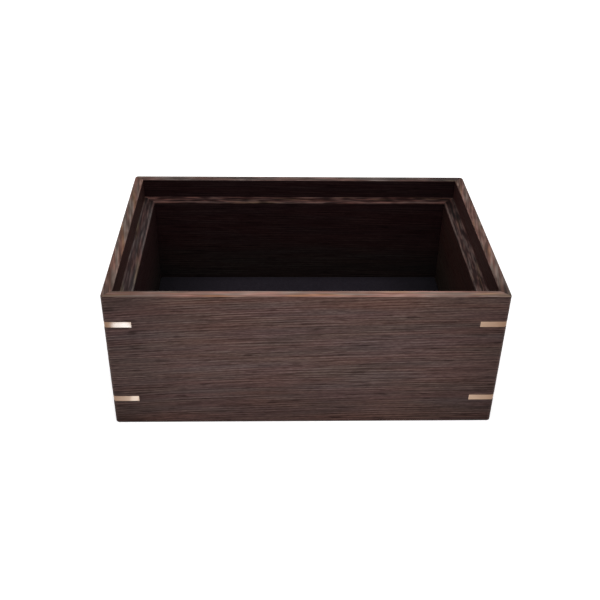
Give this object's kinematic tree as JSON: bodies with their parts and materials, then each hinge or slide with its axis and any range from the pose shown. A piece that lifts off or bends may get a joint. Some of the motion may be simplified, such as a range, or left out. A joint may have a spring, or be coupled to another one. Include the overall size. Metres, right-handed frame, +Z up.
{
  "type": "open wooden box with brass corner keys",
  "caption": "Open rectangular dark wood box with mitred corners tied by brass keys, a rebated rim that takes a drop-in lid or tray, and a cloth-covered floor.",
  "frame": {"origin": "on the table under the middle of the box", "axes": "+X along the long side, to the right seen from the front; +Y to the back; +Z up"},
  "size_m": [0.3, 0.2, 0.12],
  "materials": {
    "dark_wood": "open-pored striped dark brown wood, thin satin oil finish",
    "brass_bar": "warm brass bar, a little dulled, dressed flush and brushed along its length",
    "panel_wood": "dark brown wood, satin",
    "board_wood": "plain plywood, hidden by the cloth",
    "lining_cloth": "matt blue-black felted cloth"
  },
  "bodies": {
    "root": {"front_wall": "dark_wood", "back_wall": "dark_wood", "left_wall": "dark_wood", "right_wall": "dark_wood", "front_left_lower_key": "brass_bar", "front_left_upper_key": "brass_bar", "front_right_lower_key": "brass_bar", "front_right_upper_key": "brass_bar", "back_left_lower_key": "brass_bar", "back_left_upper_key": "brass_bar", "back_right_lower_key": "brass_bar", "back_right_upper_key": "brass_bar", "bottom_panel": "panel_wood", "floor_board": "board_wood", "floor_lining": "lining_cloth"}
  },
  "joints": []
}
